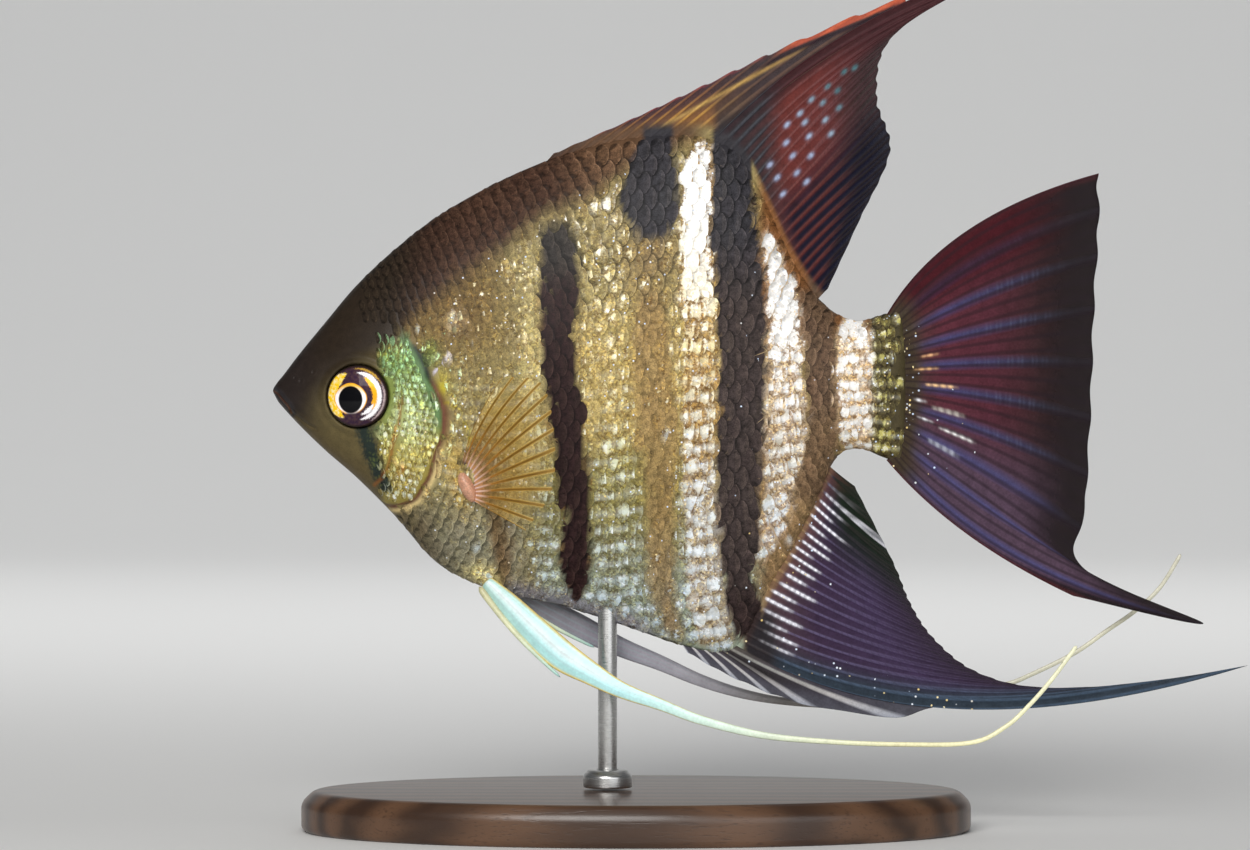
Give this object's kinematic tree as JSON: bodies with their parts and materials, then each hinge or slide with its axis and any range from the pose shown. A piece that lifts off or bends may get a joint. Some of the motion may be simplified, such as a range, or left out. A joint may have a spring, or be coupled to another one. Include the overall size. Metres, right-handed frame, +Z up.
{
  "type": "freshwater angelfish model",
  "caption": "Life-size still model of a freshwater angelfish with tall trailing fins, held level over an oval wooden base by a slim metal rod.",
  "frame": {"origin": "centre of the flat underside of the oval stand base", "axes": "+Z up; +X towards the tail, so the fish faces -X; its left side faces -Y"},
  "size_m": [0.1196, 0.046, 0.1122],
  "materials": {
    "scaled_skin": "painted scales: golden brown to silver, with black upright bars, satin to glossy with bright scale edges",
    "eye": "gold and brown iris round a black pupil under a clear glossy coat",
    "dark_fin": "wine-red and violet membrane with raised pale blue rays, satin",
    "clear_fin": "thin yellow-brown membrane with fine rays, satin",
    "feeler_fin": "bright ice-blue blade with a yellow edge, running out to a pale yellow feeler, satin",
    "walnut": "dark walnut, fine grain, satin varnish",
    "steel": "polished steel rod and collar"
  },
  "bodies": {
    "root": {"head": "scaled_skin", "lower_jaw": "scaled_skin", "gill_cover_left": "scaled_skin", "gill_cover_right": "scaled_skin", "trunk": "scaled_skin", "tail_stalk": "scaled_skin", "eye_left": "eye", "eye_right": "eye", "dorsal_fin": "dark_fin", "anal_fin": "dark_fin", "tail_fin": "dark_fin", "pectoral_fin_left": "clear_fin", "pectoral_fin_right": "clear_fin", "pelvic_fin_left": "feeler_fin", "pelvic_fin_right": "feeler_fin", "stand_base": "walnut", "stand_collar": "steel", "stand_rod": "steel"}
  },
  "joints": []
}
